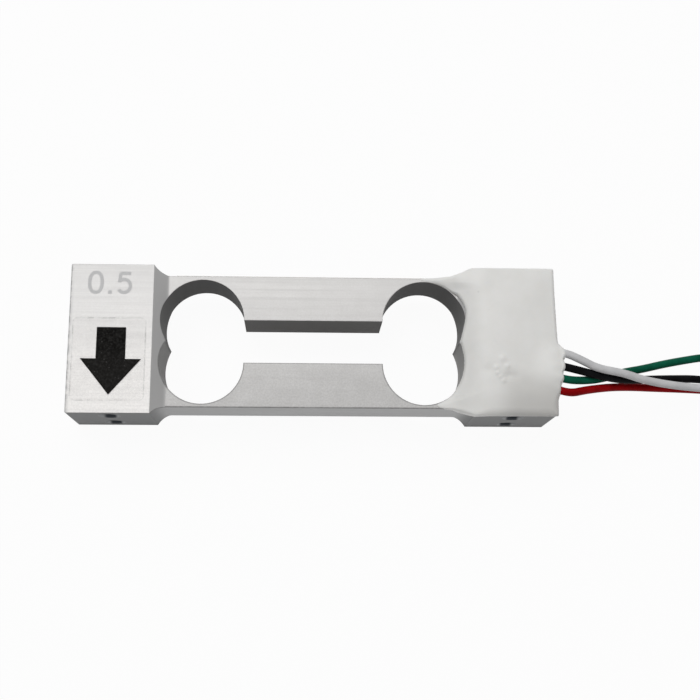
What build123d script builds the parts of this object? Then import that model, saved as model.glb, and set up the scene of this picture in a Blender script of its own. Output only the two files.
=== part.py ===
from build123d import *
import math
import os

# Single point load cell, a binocular bending beam with its gauges, sealed
# terminals and four thin leads. Millimetres. The beam lies on its back face:
# +X runs along it to the leads, +Z points out of the face with the arrow, and
# the load pushes the free end along -Y, the way the arrow points.
os.makedirs("parts", exist_ok=True)

# Beam: the overall size and the two end blocks
BEAM_LENGTH = 45.0
BEAM_HEIGHT = 14.0
BEAM_THICKNESS = 7.0
BLOCK_LENGTH = 7.65
END_BREAK = 0.1

# Beam: the weakened middle
FACE_RECESS = 1.1
STEP_RUN = 1.2
STEP_FOOT_RADIUS = 0.4
EDGE_RELIEF = 0.77
RELIEF_RADIUS = 1.8
LOBE_RADIUS = 3.88
LOBE_TO_BLOCK = 0.61
THIN_WALL = 0.32
SLOT_HEIGHT = 4.06

# Beam: two tapped holes in each block, across the whole height
HOLE_DIAMETER = 1.6
HOLE_MOUTH_DIAMETER = 2.0
HOLE_FROM_END = 3.83
HOLE_SPACING = 3.6

# Clear film with the load arrow, on the free block
FILM_WIDTH = 7.0
FILM_HEIGHT = 7.8
FILM_THICKNESS = 0.05
FILM_CORNER = 0.5
FILM_FROM_END = 0.35
FILM_FROM_LOW_EDGE = 1.12
ARROW_THICKNESS = 0.02
ARROW_LENGTH = 6.3
ARROW_HEAD_WIDTH = 5.5
ARROW_HEAD_LENGTH = 3.35
ARROW_SHAFT_WIDTH = 2.65
ARROW_TIP_FROM_LOW_EDGE = 1.7

# Strain gauges on the hidden long edge, one over each thin section
CARRIER_LENGTH = 4.4
CARRIER_WIDTH = 2.2
CARRIER_THICKNESS = 0.06
FOIL_THICKNESS = 0.03
FOIL_LINE = 0.12
FOIL_PITCH = 0.24
FOIL_LINES = 6
FOIL_LENGTH = 2.4
FOIL_MARGIN = 0.2
TAB_SIZE = 0.6
TAB_SPACING = 1.0
COAT_THICKNESS = 0.3
COAT_WIDTH = 3.2
COAT_END_MARGIN = 0.4
COAT_EDGE_RADIUS = 0.07
COAT_PAST_WIRES = 0.2
COAT_UNDER = 0.2

# Terminal board with four pads, on the face of the fixed block
BOARD_LENGTH = 2.9
BOARD_WIDTH = 4.1
BOARD_THICKNESS = 0.3
BOARD_TO_BLOCK_STEP = 1.25
BOARD_ABOVE_PAD = 1.05
PAD_LENGTH = 1.5
PAD_WIDTH = 0.6
PAD_THICKNESS = 0.05
PAD_PITCH = 0.8
PAD_SET_BACK = 0.2
FIRST_PAD_Y = -1.35
JOINT_RADIUS = 0.38
SOLDER_UNDER = 0.03
RESISTOR_LENGTH = 1.0
RESISTOR_WIDTH = 0.5
RESISTOR_HEIGHT = 0.35
RESISTOR_CAP = 0.2
RESISTOR_WAIST = 0.04
RESISTOR_Y = -0.65

# Enamelled wires from the gauges to the pads
WIRE_DIAMETER = 0.12
WIRE_LIFT = 0.1
WIRE_TURN_TO_STEP = 0.5
WIRE_TURN_PITCH = 0.2
WIRE_BELOW_EDGE = 0.33
WIRE_ROW_PITCH = 0.25
WIRE_COLUMN_PITCH = 0.2
WIRE_COLUMN_GAP = 0.2
WIRE_SIDE_RUN = 0.5
WIRE_BEFORE_STEP = 0.1
WIRE_FRONT_GAP = 0.1
WIRE_END_SHORT = 0.2

# Silicone over the terminals
SEAL_EDGE = 0.3
SEAL_FEATHER = 0.06
SEAL_CREEP_TOP = 2.9
SEAL_CREEP_LOW = 1.8
SEAL_SWEEP_TOP = 2.6
SEAL_SWEEP_LOW = 2.0
SEAL_RISE_PAST_STEP = 0.3
SEAL_CROWN = 0.75
SEAL_CROWN_HALF = (5.2, 8.2)
SEAL_CROWN_BELOW_PAD = 0.3
SEAL_EXIT_CROWN = 0.5
SEAL_EXIT_HALF = (1.8, 2.6)
SEAL_EXIT_BELOW_PAD = 0.1
SEAL_EDGE_OVERHANG = 0.03
SEAL_CUT_DEPTH = 6
SEAL_ABOVE_GAUGE = 0.05
SEAL_MARGIN = 0.3
SEAL_COLUMNS = 13
SEAL_ROWS = 11
BULGE_OUT = 0.9
BULGE_ROOT = 1.2
BULGE_TOP_SIDE = 0.95
BULGE_LOW_SIDE = 1.7
BULGE_BELOW_FACE = 0.7
BULGE_ABOVE_FACE = 0.97
BULGE_RADIUS = 0.3

# Leads and the coil that the rest of them is wound into
LEAD_DIAMETER = 0.75
CORE_DIAMETER = 0.3
LEAD_FROM_BOARD = 0.12
LEVEL_RUN = 1.6
COIL_FROM_END = 26.5
COIL_Y = 3.44
COIL_LEAD_IN = 3.3
COIL_INNER_RADIUS = 3.8
COIL_PITCH = 0.77
COIL_TURNS = 4.25
TINNED_LENGTH = 3.2
TINNED_ROOT = 0.4
TIE_THICKNESS = 0.2
TIE_WIDTH = 1.2
TIE_ANGLE = 118
TIE_CLEARANCE = 0.02

# Places worked out from the sizes above
half_length = BEAM_LENGTH / 2
half_height = BEAM_HEIGHT / 2
mid_z = BEAM_THICKNESS / 2
block_x = half_length - BLOCK_LENGTH
step_foot_x = block_x - STEP_RUN
recess_z = BEAM_THICKNESS - FACE_RECESS
relief_y = half_height - EDGE_RELIEF
lobe_x = block_x - LOBE_TO_BLOCK - LOBE_RADIUS
lobe_y = relief_y - THIN_WALL - LOBE_RADIUS
board_x = block_x + BOARD_TO_BLOCK_STEP
board_top = BEAM_THICKNESS + BOARD_THICKNESS
pad_top = board_top + PAD_THICKNESS
pad_x = board_x + BOARD_LENGTH / 2 - PAD_SET_BACK
lead_z = pad_top + CORE_DIAMETER / 2 + SOLDER_UNDER
coil_radius = COIL_INNER_RADIUS + COIL_PITCH * COIL_TURNS
coil_x = half_length + COIL_FROM_END
coil_low_y = COIL_Y - coil_radius
wire_turn_x = step_foot_x - WIRE_TURN_TO_STEP

# Each lead's colour, its pad from the top, its level in the coil, the angle
# at which its bare end leaves the coil, and its route. The route's x starts at
# the end of the beam, so the leads and the coil stay with the block.
LEADS = {
    "white": (0, 3, 34, [
        (-1.3, -1.05, 7.45), (0.8, -1.2, 7.43), (2.4, -1.85, 7.38),
        (4.2, -2.5, 7.1), (6.2, -3.0, 6.7), (8.4, -3.3, 5.9),
        (11.1, -3.6, 4.85), (14.1, -3.72, 3.95), (17.1, -3.8, 3.3),
        (19.9, -3.75, 2.98),
    ]),
    "black": (1, 2, 41, [
        (-1.3, -2.1, 7.45), (0.8, -2.5, 7.42), (2.3, -2.8, 7.12),
        (4.4, -3.15, 6.4), (6.0, -3.3, 5.75), (7.6, -3.25, 5.15),
        (9.8, -3.0, 4.3), (12.1, -2.8, 3.55), (14.7, -2.65, 2.9),
        (17.5, -2.95, 2.4), (20.0, -3.45, 2.18),
    ]),
    "green": (2, 1, 48, [
        (-1.3, -3.1, 7.45), (0.7, -3.68, 7.4), (2.4, -3.64, 6.6),
        (4.6, -3.22, 5.32), (7.0, -2.35, 4.35), (9.1, -1.9, 3.75),
        (11.3, -1.27, 3.05), (13.7, -0.72, 2.4), (16.0, -0.26, 1.88),
        (17.6, -0.6, 1.6), (19.0, -1.75, 1.47), (20.2, -2.95, 1.39),
    ]),
    "red": (3, 0, 55, [
        (-1.5, -4.2, 7.45), (0.3, -4.75, 7.42), (1.4, -4.88, 7.05),
        (2.6, -4.55, 6.5), (3.9, -4.25, 5.85), (5.8, -3.9, 4.9),
        (7.9, -3.7, 3.95), (10.2, -3.6, 3.0), (12.7, -3.5, 2.15),
        (15.3, -3.45, 1.4), (17.9, -3.52, 0.9), (20.2, -3.6, 0.64),
    ]),
}


def block(x, y, z):
    """A box between the two values of each pair."""
    centre = ((x[0] + x[1]) / 2, (y[0] + y[1]) / 2, (z[0] + z[1]) / 2)
    return Pos(*centre) * Box(x[1] - x[0], y[1] - y[0], z[1] - z[0])


def level(number):
    """Height of a lead's centre in the coil, counted from the lowest."""
    return TIE_THICKNESS + TIE_CLEARANCE + LEAD_DIAMETER / 2 + COIL_PITCH * number


def pad_y(number):
    """Place of a pad across the board, counted from the top."""
    return FIRST_PAD_Y - PAD_PITCH * number


def lobe_cutters():
    """The four bores and the slot that join into two double holes."""
    cutters = block((-lobe_x, lobe_x), (-SLOT_HEIGHT / 2, SLOT_HEIGHT / 2), (-1, 2 * BEAM_THICKNESS))
    for side in (-1, 1):
        for row in (-1, 1):
            bore = Cylinder(LOBE_RADIUS, 3 * BEAM_THICKNESS)
            cutters += Pos(side * lobe_x, row * lobe_y, BEAM_THICKNESS / 2) * bore
    return cutters


def beam_blank():
    """The milled bar before the holes: relieved edges, recessed faces."""
    bar = block((-half_length, half_length), (-half_height, half_height), (0, BEAM_THICKNESS))
    bar = chamfer(bar.faces().sort_by(Axis.X)[0].edges(), END_BREAK)
    bar = chamfer(bar.faces().sort_by(Axis.X)[-1].edges(), END_BREAK)

    # The cutter leaves an arc at both ends of each relieved long edge
    arc_run = RELIEF_RADIUS - math.sqrt(RELIEF_RADIUS**2 - (RELIEF_RADIUS - EDGE_RELIEF) ** 2)
    relief = RectangleRounded(2 * (block_x + arc_run), 4 * RELIEF_RADIUS, RELIEF_RADIUS)
    relief = Pos(0, 0, -1) * extrude(relief, BEAM_THICKNESS + 2)
    for side in (-1, 1):
        bar -= Pos(0, side * (relief_y + 2 * RELIEF_RADIUS), 0) * relief

    # The faces step down on a slant that ends in a small fillet
    foot = step_foot_x
    outline = Polyline(
        (-block_x, BEAM_THICKNESS),
        (-foot, recess_z),
        (foot, recess_z),
        (block_x, BEAM_THICKNESS),
        (block_x, BEAM_THICKNESS + 1),
        (-block_x, BEAM_THICKNESS + 1),
        close=True,
    )
    section = make_face(Plane.XZ * outline)
    feet = section.vertices().sort_by(Axis.Z)[:2]
    section = fillet(feet, STEP_FOOT_RADIUS)
    recess = extrude(section, amount=BEAM_HEIGHT, both=True)
    bar -= recess
    bar -= recess.mirror(Plane.XY.offset(mid_z))
    return bar


def mount_holes():
    """Four holes through the height, each widened at both mouths."""
    hole = Cylinder(HOLE_DIAMETER / 2, BEAM_HEIGHT + 2)
    flare = (HOLE_MOUTH_DIAMETER - HOLE_DIAMETER) / 2
    mouth = Cone(HOLE_DIAMETER / 2, HOLE_MOUTH_DIAMETER / 2 + 1, flare + 1)
    for side in (-1, 1):
        place = Pos(0, 0, side * (half_height - flare + (flare + 1) / 2))
        hole += place * Rot(0 if side > 0 else 180, 0, 0) * mouth
    hole = Rot(90, 0, 0) * hole
    holes = []
    for side in (-1, 1):
        for row in (-1, 1):
            x = side * (half_length - HOLE_FROM_END)
            holes.append(Pos(x, 0, mid_z + row * HOLE_SPACING / 2) * hole)
    return holes


def film_and_arrow():
    """The clear film and the load arrow printed on it."""
    x = -half_length + FILM_FROM_END + FILM_WIDTH / 2
    y = -half_height + FILM_FROM_LOW_EDGE + FILM_HEIGHT / 2
    film = Pos(x, y, BEAM_THICKNESS) * extrude(
        RectangleRounded(FILM_WIDTH, FILM_HEIGHT, FILM_CORNER), FILM_THICKNESS
    )
    tip = -half_height + ARROW_TIP_FROM_LOW_EDGE
    neck = tip + ARROW_HEAD_LENGTH
    outline = Polyline(
        (0, tip),
        (ARROW_HEAD_WIDTH / 2, neck),
        (ARROW_SHAFT_WIDTH / 2, neck),
        (ARROW_SHAFT_WIDTH / 2, tip + ARROW_LENGTH),
        (-ARROW_SHAFT_WIDTH / 2, tip + ARROW_LENGTH),
        (-ARROW_SHAFT_WIDTH / 2, neck),
        (-ARROW_HEAD_WIDTH / 2, neck),
        close=True,
    )
    arrow = extrude(make_face(outline), ARROW_THICKNESS)
    return film, Pos(x, 0, BEAM_THICKNESS + FILM_THICKNESS) * arrow


def gauge(centre_x):
    """A gauge's carrier and its foil grid, flat on the relieved edge."""
    low = relief_y
    high = low + CARRIER_THICKNESS
    x = (centre_x - CARRIER_LENGTH / 2, centre_x + CARRIER_LENGTH / 2)
    carrier = block(x, (low, high), (mid_z - CARRIER_WIDTH / 2, mid_z + CARRIER_WIDTH / 2))
    foil_y = (high, high + FOIL_THICKNESS)
    first_z = mid_z - FOIL_PITCH * (FOIL_LINES - 1) / 2
    start = x[0] + FOIL_MARGIN
    grid = None
    for i in range(FOIL_LINES):
        z = first_z + i * FOIL_PITCH
        line = block((start, start + FOIL_LENGTH), foil_y, (z - FOIL_LINE / 2, z + FOIL_LINE / 2))
        grid = line if grid is None else grid + line
        if i < FOIL_LINES - 1:
            turn_x = start + FOIL_LENGTH if i % 2 else start
            turn = (turn_x - FOIL_LINE, turn_x) if i % 2 else (turn_x, turn_x + FOIL_LINE)
            grid += block(turn, foil_y, (z - FOIL_LINE / 2, z + FOIL_PITCH + FOIL_LINE / 2))
    for side in (-1, 1):
        end_z = mid_z + side * TAB_SPACING / 2
        last_z = mid_z + side * FOIL_PITCH * (FOIL_LINES - 1) / 2
        reach = (start + FOIL_LENGTH - FOIL_LINE, x[1] - FOIL_MARGIN)
        grid += block(reach, foil_y, (last_z - FOIL_LINE / 2, last_z + FOIL_LINE / 2))
        tab_x = (x[1] - FOIL_MARGIN - TAB_SIZE, x[1] - FOIL_MARGIN)
        grid += block(tab_x, foil_y, (end_z - TAB_SIZE / 2, end_z + TAB_SIZE / 2))
    return carrier, grid


def gauge_wire(number):
    """One enamelled wire from a gauge tab, over the edge, to its pad."""
    lift = WIRE_LIFT + WIRE_DIAMETER / 2
    top = relief_y + lift
    front = recess_z + lift + WIRE_FRONT_GAP
    tab_x = CARRIER_LENGTH / 2 - FOIL_MARGIN - TAB_SIZE / 2
    outside = CARRIER_WIDTH / 2 + WIRE_DIAMETER + WIRE_LIFT
    turn_x = wire_turn_x + WIRE_TURN_PITCH * (3 - number)
    row_y = relief_y - WIRE_BELOW_EDGE - WIRE_ROW_PITCH * number
    column_x = board_x - WIRE_COLUMN_GAP - WIRE_COLUMN_PITCH * number
    face_z = BEAM_THICKNESS + lift
    points = []
    if number in (0, 3):
        # The far gauge's wires pass beside the near gauge
        side = -1 if number == 0 else 1
        z = mid_z + side * outside
        tab_z = mid_z + side * TAB_SPACING / 2
        points += [(-lobe_x + tab_x, top, tab_z), (-lobe_x + CARRIER_LENGTH / 2 + WIRE_SIDE_RUN, top, z)]
    else:
        side = -1 if number == 1 else 1
        z = mid_z + side * TAB_SPACING / 2
        points += [(lobe_x + tab_x, top, z)]
    pad_z = pad_top + WIRE_DIAMETER / 2 + SOLDER_UNDER
    points += [
        (turn_x, top, z),
        (turn_x, top, front),
        (turn_x, row_y, front),
        (block_x - WIRE_BEFORE_STEP, row_y, face_z),
        (column_x, row_y, face_z),
        (column_x, pad_y(number), face_z),
        (column_x, pad_y(number), pad_z),
        (pad_x - WIRE_END_SHORT, pad_y(number), pad_z),
    ]
    path = Polyline(*points)
    section = Plane(origin=path @ 0, z_dir=path % 0) * Circle(WIRE_DIAMETER / 2)
    return sweep(section, path=path, transition=Transition.RIGHT)


def terminal_parts():
    """Board, pads, solder joints and the small resistor beside them."""
    x = (board_x, board_x + BOARD_LENGTH)
    y_high = FIRST_PAD_Y + BOARD_ABOVE_PAD
    board = block(x, (y_high - BOARD_WIDTH, y_high), (BEAM_THICKNESS, board_top))
    pads = []
    joints = []
    for number in range(4):
        y = pad_y(number)
        pad_ends = (pad_x - PAD_LENGTH / 2, pad_x + PAD_LENGTH / 2)
        pads.append(block(pad_ends, (y - PAD_WIDTH / 2, y + PAD_WIDTH / 2), (board_top, pad_top)))
        ball = Pos(pad_x, y, pad_top) * Sphere(JOINT_RADIUS)
        joints.append(ball & block((x[0], x[1]), (y - 1, y + 1), (pad_top, pad_top + 1)))
    chip_x = (pad_x - RESISTOR_LENGTH / 2, pad_x + RESISTOR_LENGTH / 2)
    chip_y = (RESISTOR_Y - RESISTOR_WIDTH / 2, RESISTOR_Y + RESISTOR_WIDTH / 2)
    chip = block(chip_x, chip_y, (board_top, board_top + RESISTOR_HEIGHT))
    waist = block(
        (chip_x[0] + RESISTOR_CAP, chip_x[1] - RESISTOR_CAP),
        (chip_y[0], chip_y[1]),
        (board_top + RESISTOR_HEIGHT - RESISTOR_WAIST, board_top + RESISTOR_HEIGHT),
    )
    return board, pads, joints, chip - waist


def smooth(t):
    """A ramp from 0 to 1 with level ends."""
    t = min(max(t, 0), 1)
    return t * t * (3 - 2 * t)


def seal_height(x, y):
    """Top of the silicone: it climbs the step, then crowns over the board."""
    left = step_foot_x - SEAL_CREEP_TOP
    base = recess_z + SEAL_FEATHER
    full = BEAM_THICKNESS + SEAL_EDGE
    height = base + (full - base) * smooth((x - left) / (block_x + SEAL_RISE_PAST_STEP - left))
    u = (x - (board_x + BOARD_LENGTH / 2)) / SEAL_CROWN_HALF[0]
    v = (y - pad_y(0) + SEAL_CROWN_BELOW_PAD) / SEAL_CROWN_HALF[1]
    height += SEAL_CROWN * max(0, 1 - u * u) * max(0, 1 - v * v)
    across = (x - half_length) / SEAL_EXIT_HALF[0]
    along = (y - pad_y(2) + SEAL_EXIT_BELOW_PAD) / SEAL_EXIT_HALF[1]
    height += SEAL_EXIT_CROWN * math.exp(-across * across - along * along)
    return height


def seal_body(blank):
    """The silicone as one cured mass, before what lies in it is taken out."""
    first_x = step_foot_x - SEAL_CREEP_TOP - SEAL_MARGIN
    first_y = -half_height - SEAL_MARGIN
    step_x = (half_length + SEAL_MARGIN - first_x) / (SEAL_COLUMNS - 1)
    step_y = (BEAM_HEIGHT + 2 * SEAL_MARGIN) / (SEAL_ROWS - 1)
    columns = [first_x + i * step_x for i in range(SEAL_COLUMNS)]
    rows = [first_y + i * step_y for i in range(SEAL_ROWS)]
    grid = [[(x, y, seal_height(x, y)) for y in rows] for x in columns]
    surface = Face.make_surface_from_array_of_points(grid, tol=0.002)
    mass = Part() + Solid.extrude(surface, Vector(0, 0, -SEAL_CUT_DEPTH))
    outline = Polyline(
        (step_foot_x - SEAL_CREEP_TOP, relief_y),
        (block_x - SEAL_SWEEP_TOP, relief_y + SEAL_EDGE_OVERHANG),
        (block_x, half_height),
        (half_length, half_height),
        (half_length, -half_height),
        (block_x, -half_height),
        (block_x - SEAL_SWEEP_LOW, -relief_y - SEAL_EDGE_OVERHANG),
        (step_foot_x - SEAL_CREEP_LOW, -relief_y),
        close=True,
    )
    low = mid_z + CARRIER_WIDTH / 2 + SEAL_ABOVE_GAUGE
    mass &= Pos(0, 0, low) * extrude(make_face(outline), SEAL_CUT_DEPTH)
    exit_y = (pad_y(3) - BULGE_LOW_SIDE, pad_y(0) + BULGE_TOP_SIDE)
    bulge = block(
        (half_length - BULGE_ROOT, half_length + BULGE_OUT),
        exit_y,
        (BEAM_THICKNESS - BULGE_BELOW_FACE, BEAM_THICKNESS + BULGE_ABOVE_FACE),
    )
    bulge = fillet(bulge.edges(), BULGE_RADIUS)
    return mass - lobe_cutters() - blank + (bulge - blank)


def lead_route(name):
    """All points of a lead's route, from its pad to the coil."""
    pad, height, bare, route = LEADS[name]
    start = (board_x + BOARD_LENGTH + LEAD_FROM_BOARD, pad_y(pad), lead_z)
    way_in = coil_x - COIL_LEAD_IN
    ends = [(x, coil_low_y, level(height)) for x in (way_in - LEVEL_RUN, way_in)]
    return [start, *[(half_length + x, y, z) for x, y, z in route], *ends]


def lead_tube(name):
    """Straight runs joined by arcs as large as the runs allow."""
    points = [Vector(*p) for p in lead_route(name)]
    runs = [b - a for a, b in zip(points, points[1:])]
    radii = []
    for before, after in zip(runs, runs[1:]):
        shorter = min(before.length, after.length)
        half_turn = math.radians(before.get_angle(after) / 2)
        radii.append(0.45 * shorter / math.tan(half_turn))
    path = FilletPolyline(*points, radius=radii)
    section = Plane(origin=path @ 0, z_dir=path % 0) * Circle(LEAD_DIAMETER / 2)
    tube = sweep(section, path=path)
    expected = math.pi * LEAD_DIAMETER**2 / 4 * path.length
    print(f"lead_{name}: tightest radius {min(radii):.2f}, longest run {max(r.length for r in runs):.2f}")
    print(f"  length {path.length:.2f}, volume {tube.volume:.3f} against {expected:.3f}")
    return tube


def coil_ring(name):
    """The flat spiral of one lead: the ring of its turns and the straight way in."""
    height = level(LEADS[name][1])
    radius = LEAD_DIAMETER / 2
    outside = Cylinder(coil_radius + radius, LEAD_DIAMETER)
    inside = Cylinder(COIL_INNER_RADIUS - radius, LEAD_DIAMETER + 1)
    way_in = block((-COIL_LEAD_IN, 0), (-coil_radius - radius, -coil_radius + radius), (-radius, radius))
    return Pos(coil_x, COIL_Y, height) * (outside + way_in - inside)


def tinned_end(name):
    """The bare end, leaving the inner turn at a slant into the coil."""
    pad, height, bare, route = LEADS[name]
    reach = COIL_INNER_RADIUS - LEAD_DIAMETER / 2
    direction = Vector(0, 1, 0).rotate(Axis.Z, bare)
    start = Vector(coil_x + reach, COIL_Y, level(height))
    place = Plane(origin=start - direction * TINNED_ROOT, z_dir=direction)
    wire = place * extrude(Circle(CORE_DIAMETER / 2), TINNED_LENGTH + TINNED_ROOT)
    return wire - coil_ring(name)


def coil_tie():
    """A band round all four spirals, as a loop with rounded corners."""
    low = level(0) - LEAD_DIAMETER / 2 - TIE_CLEARANCE
    high = level(3) + LEAD_DIAMETER / 2 + TIE_CLEARANCE
    inner = COIL_INNER_RADIUS - LEAD_DIAMETER / 2 - TIE_CLEARANCE
    outer = coil_radius + LEAD_DIAMETER / 2 + TIE_CLEARANCE
    bow = inner - math.sqrt(inner**2 - (TIE_WIDTH / 2) ** 2)
    wide = outer - inner + bow
    tall = high - low
    middle = ((outer + inner - bow) / 2, (high + low) / 2)
    loop = RectangleRounded(wide + 2 * TIE_THICKNESS, tall + 2 * TIE_THICKNESS, TIE_THICKNESS)
    loop -= Rectangle(wide, tall)
    band = extrude(Plane.XZ * Pos(*middle) * loop, TIE_WIDTH / 2, both=True)
    return Pos(coil_x, COIL_Y, 0) * Rot(0, 0, TIE_ANGLE) * band


parts = {}
blank = beam_blank()
lobes = lobe_cutters()
parts["beam"] = blank - lobes - mount_holes()
parts["label_film"], parts["direction_arrow"] = film_and_arrow()
for name, x in (("left", -lobe_x), ("right", lobe_x)):
    parts[f"gauge_carrier_{name}"], parts[f"gauge_grid_{name}"] = gauge(x)
for number in range(4):
    parts[f"gauge_wire_{number + 1}"] = gauge_wire(number)
board, pads, joints, resistor = terminal_parts()
parts["terminal_board"] = board
parts["terminal_pads"] = Compound(children=pads)
parts["balance_resistor"] = resistor

# Each lead: bare core at the pad, insulated tube, coil and bare far end
for name, (pad, height, bare, route) in LEADS.items():
    tube = lead_tube(name)
    core = Pos(pad_x, pad_y(pad), lead_z) * Rot(0, 90, 0) * Cylinder(
        CORE_DIAMETER / 2,
        board_x + BOARD_LENGTH + LEAD_FROM_BOARD - pad_x,
        align=(Align.CENTER, Align.CENTER, Align.MIN),
    )
    parts[f"core_{name}"] = core - tube
    parts[f"lead_{name}"] = tube
    parts[f"coil_{name}"] = coil_ring(name)
    parts[f"tinned_end_{name}"] = tinned_end(name)
parts["coil_tie"] = coil_tie()

# The solder holds a wire and a core; the silicone takes the form of it all
for number, name in enumerate(LEADS):
    joints[number] = joints[number] - parts[f"core_{name}"] - parts[f"gauge_wire_{number + 1}"]
parts["solder_joints"] = Compound(children=joints)
seal = seal_body(blank)
coat_end = wire_turn_x + 3 * WIRE_TURN_PITCH + COAT_PAST_WIRES
coat_x = (-lobe_x - CARRIER_LENGTH / 2 - COAT_END_MARGIN, coat_end)
coat = block(
    coat_x,
    (relief_y - COAT_UNDER, relief_y + COAT_THICKNESS),
    (mid_z - COAT_WIDTH / 2, mid_z + COAT_WIDTH / 2),
)
coat = fillet(coat.faces().sort_by(Axis.Y)[-1].edges(), COAT_EDGE_RADIUS)
coat = coat - blank - seal
buried = [parts[f"gauge_wire_{i + 1}"] for i in range(4)]
for name in ("left", "right"):
    buried += [parts[f"gauge_carrier_{name}"], parts[f"gauge_grid_{name}"]]
parts["gauge_coating"] = coat - buried
in_seal = [parts[f"gauge_wire_{i + 1}"] for i in range(4)]
in_seal += [board, resistor, *pads, *joints]
for name in LEADS:
    in_seal += [parts[f"core_{name}"], parts[f"lead_{name}"]]
parts["sealant"] = seal - in_seal

for name, part in parts.items():
    export_step(part, f"parts/{name}.step")
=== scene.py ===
# %% [markdown]
# # A single point load cell
# The part is a small milled aluminium beam, thinned in its middle so that it bends a little
# under load. White silicone covers its terminals, and four thin leads come out of it. The
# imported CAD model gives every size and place. This file adds what a photograph shows: soft
# edges, machined and moulded surfaces, real cords and a studio around them.

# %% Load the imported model
import math

import bpy
import numpy as np
from mathutils import Matrix, Vector


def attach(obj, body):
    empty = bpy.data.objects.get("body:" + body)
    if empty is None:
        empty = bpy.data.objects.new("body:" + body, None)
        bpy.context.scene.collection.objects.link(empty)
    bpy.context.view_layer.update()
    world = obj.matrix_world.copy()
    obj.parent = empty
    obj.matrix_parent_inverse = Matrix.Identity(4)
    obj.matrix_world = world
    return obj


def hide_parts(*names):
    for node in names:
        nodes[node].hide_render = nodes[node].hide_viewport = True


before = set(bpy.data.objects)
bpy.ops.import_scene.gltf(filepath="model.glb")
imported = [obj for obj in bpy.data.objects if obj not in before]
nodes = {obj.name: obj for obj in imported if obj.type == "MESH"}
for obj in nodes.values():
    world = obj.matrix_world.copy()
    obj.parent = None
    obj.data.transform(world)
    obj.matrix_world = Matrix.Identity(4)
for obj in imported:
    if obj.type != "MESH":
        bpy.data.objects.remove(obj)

scene = bpy.context.scene
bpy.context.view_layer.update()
MM = 0.001


def placed(name, data):
    """An object made of some data, linked to the scene."""
    made = bpy.data.objects.new(name, data)
    scene.collection.objects.link(made)
    return made


# %% [markdown]
# ## The camera
# A photograph fixes the camera once a dozen corners of the object have been matched to their
# known places. The result is a position, a turn and a focal length. Here it looks down on the
# beam from 112 mm, a little from the front, so the undersides of the blocks just show.

# %% Camera
CAMERA_PLACE_MM = (-1.29488, -24.218, 112.21182)
CAMERA_TURN = (
    (0.999027, -0.008392, -0.043286),
    (-0.001134, 0.976506, -0.215489),
    (0.044078, 0.215329, 0.975546),
)
camera_data = bpy.data.cameras.new("camera")
camera_data.sensor_width = 36.0
camera_data.lens = 60.034
camera_data.clip_start = 0.002
camera_data.clip_end = 20.0
camera = placed("camera", camera_data)
camera.matrix_world = Matrix.Translation(Vector(CAMERA_PLACE_MM) * MM) @ Matrix(CAMERA_TURN).to_4x4()
scene.camera = camera
print("camera at", [round(c / MM, 1) for c in camera.matrix_world.translation], "mm")

# %% [markdown]
# ## The four leads
# Each lead is thin stranded wire in soft PVC, 0.75 mm across. A cord like this is best drawn as one
# NURBS curve with a round bevel: its control points pull the line without forcing it through
# corners, so it bends like wire does. The routes are the CAD model's own, point for point.
# The length that the photograph doesn't show is wound away in a flat spiral, one layer for
# each lead, and a band holds the four layers together.

# %% Routes of the leads, in millimetres
LEAD_DIAMETER = 0.75
HALF_LENGTH = 22.5
COIL_CENTRE = (49.0, 3.44)
COIL_INNER_RADIUS = 3.8
COIL_PITCH = 0.77
COIL_TURNS = 4.25
COIL_POINTS_PER_TURN = 16
FIRST_LEVEL = 0.595
WAY_IN_X = (44.1, 45.7)
PAD_X, PAD_Z = 19.12, 7.53
coil_radius = COIL_INNER_RADIUS + COIL_PITCH * COIL_TURNS
coil_low_y = COIL_CENTRE[1] - coil_radius

# name: (pad's place across the board, level in the coil, angle of the bare end, route).
# The route's x starts at the end of the beam.
LEADS = {
    "white": (-1.35, 3, 34, [
        (-1.3, -1.0, 7.45), (0.8, -1.14, 7.43), (2.4, -1.85, 7.38),
        (3.9, -2.56, 7.1), (6.4, -2.85, 6.6), (8.4, -3.35, 5.9),
        (11.1, -3.6, 4.85), (14.1, -3.72, 3.95), (17.1, -3.8, 3.3),
        (19.9, -3.75, 2.98),
    ]),
    "black": (-2.15, 2, 41, [
        (-1.3, -2.1, 7.45), (0.8, -2.5, 7.42), (2.3, -2.8, 7.12),
        (4.4, -3.15, 6.4), (6.0, -3.3, 5.75), (7.6, -3.25, 5.15),
        (9.8, -3.0, 4.3), (12.1, -2.8, 3.55), (14.7, -2.65, 2.9),
        (17.5, -2.95, 2.4), (20.0, -3.45, 2.18),
    ]),
    "green": (-2.95, 1, 48, [
        (-1.3, -3.1, 7.45), (0.7, -3.68, 7.4), (2.4, -3.64, 6.6),
        (4.6, -3.22, 5.32), (7.0, -2.35, 4.35), (9.1, -1.9, 3.75),
        (11.3, -1.27, 3.05), (13.7, -0.72, 2.4), (16.0, -0.26, 1.88),
        (17.6, -0.6, 1.6), (19.0, -1.75, 1.47), (20.2, -2.95, 1.39),
    ]),
    "red": (-3.75, 0, 55, [
        (-1.5, -4.2, 7.45), (0.3, -4.75, 7.42), (1.4, -4.88, 7.05),
        (2.6, -4.55, 6.5), (3.9, -4.25, 5.85), (5.8, -3.9, 4.9),
        (7.9, -3.7, 3.95), (10.2, -3.6, 3.0), (12.7, -3.5, 2.15),
        (15.3, -3.45, 1.4), (17.9, -3.52, 0.9), (20.2, -3.6, 0.64),
    ]),
}


def level(number):
    """Height of a lead's centre in the coil: the lowest layer's, and a pitch more for each."""
    return FIRST_LEVEL + COIL_PITCH * number


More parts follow.
